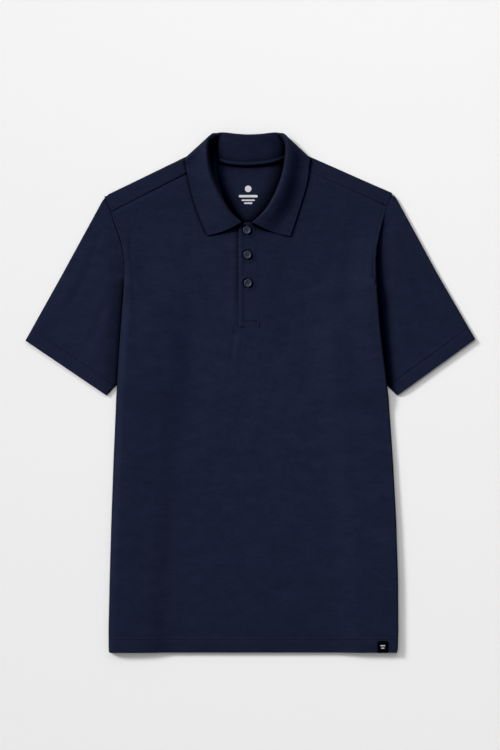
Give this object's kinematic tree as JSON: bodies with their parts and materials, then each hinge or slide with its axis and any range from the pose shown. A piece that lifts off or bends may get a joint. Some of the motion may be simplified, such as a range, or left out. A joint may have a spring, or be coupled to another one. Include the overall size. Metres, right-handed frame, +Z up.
{
  "type": "polo shirt",
  "caption": "Short-sleeved polo shirt laid flat on its back, with a turned-down rib collar, a buttoned placket and its sides tucked under.",
  "frame": {"origin": "centre of the shirt's footprint, on the floor it lies on", "axes": "+Y from hem to collar, +Z up through the front, +X to the picture's right"},
  "size_m": [0.6438, 0.7446, 0.0129],
  "materials": {
    "knit": "matte navy cotton pique",
    "rib": "matte navy flat-knit rib",
    "button": "satin dark blue plastic",
    "label": "matte black woven tape"
  },
  "bodies": {
    "root": {"front": "knit", "back": "knit", "sleeve_left": "knit", "sleeve_right": "knit", "collar": "rib", "placket_top": "knit", "placket_under": "knit", "button_1": "button", "button_2": "button", "button_3": "button", "neck_tape": "rib", "hem_label": "label"}
  },
  "joints": []
}
